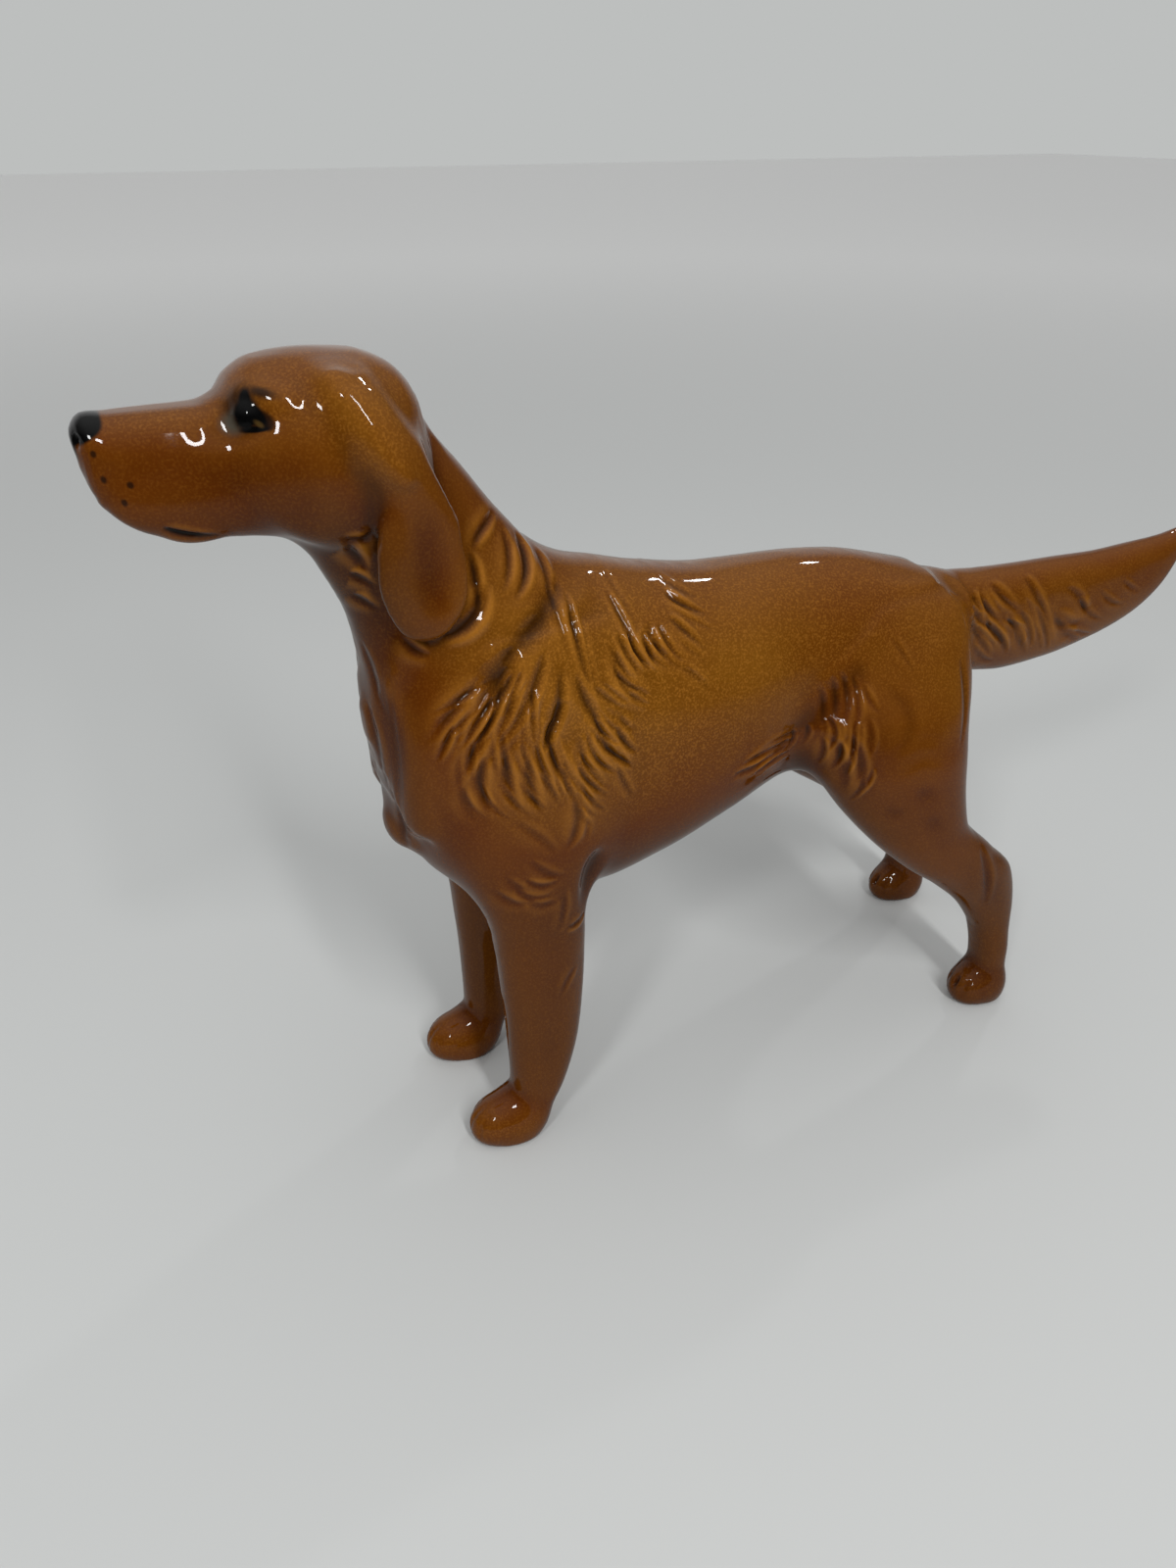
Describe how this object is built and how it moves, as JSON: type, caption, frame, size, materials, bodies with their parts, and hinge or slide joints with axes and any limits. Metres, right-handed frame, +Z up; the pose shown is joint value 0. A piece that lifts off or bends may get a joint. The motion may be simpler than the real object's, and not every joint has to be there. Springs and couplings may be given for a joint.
{
  "type": "dog figurine",
  "caption": "Standing setter dog figurine of hollow slip-cast porcelain in brown glaze, with hanging ears, straight forelegs and a level feathered tail, made to stand on a shelf.",
  "frame": {"origin": "on the ground under the middle of the figure's box, midway between nose and tail tip", "axes": "+Z up, +X towards the tail, so the head points to -X and the dog's left side to -Y"},
  "size_m": [0.219, 0.0508, 0.1459],
  "materials": {
    "glazed_porcelain": "gloss",
    "fired_slip": "matte"
  },
  "bodies": {
    "root": {"torso_casting": "glazed_porcelain", "head_casting": "glazed_porcelain", "left_ear": "glazed_porcelain", "right_ear": "glazed_porcelain", "left_foreleg": "glazed_porcelain", "right_foreleg": "glazed_porcelain", "left_hind_leg": "glazed_porcelain", "right_hind_leg": "glazed_porcelain", "tail": "glazed_porcelain", "neck_slip_joint": "fired_slip", "left_foreleg_slip_joint": "fired_slip", "right_foreleg_slip_joint": "fired_slip", "left_hind_leg_slip_joint": "fired_slip", "right_hind_leg_slip_joint": "fired_slip", "tail_slip_joint": "fired_slip"}
  },
  "joints": []
}
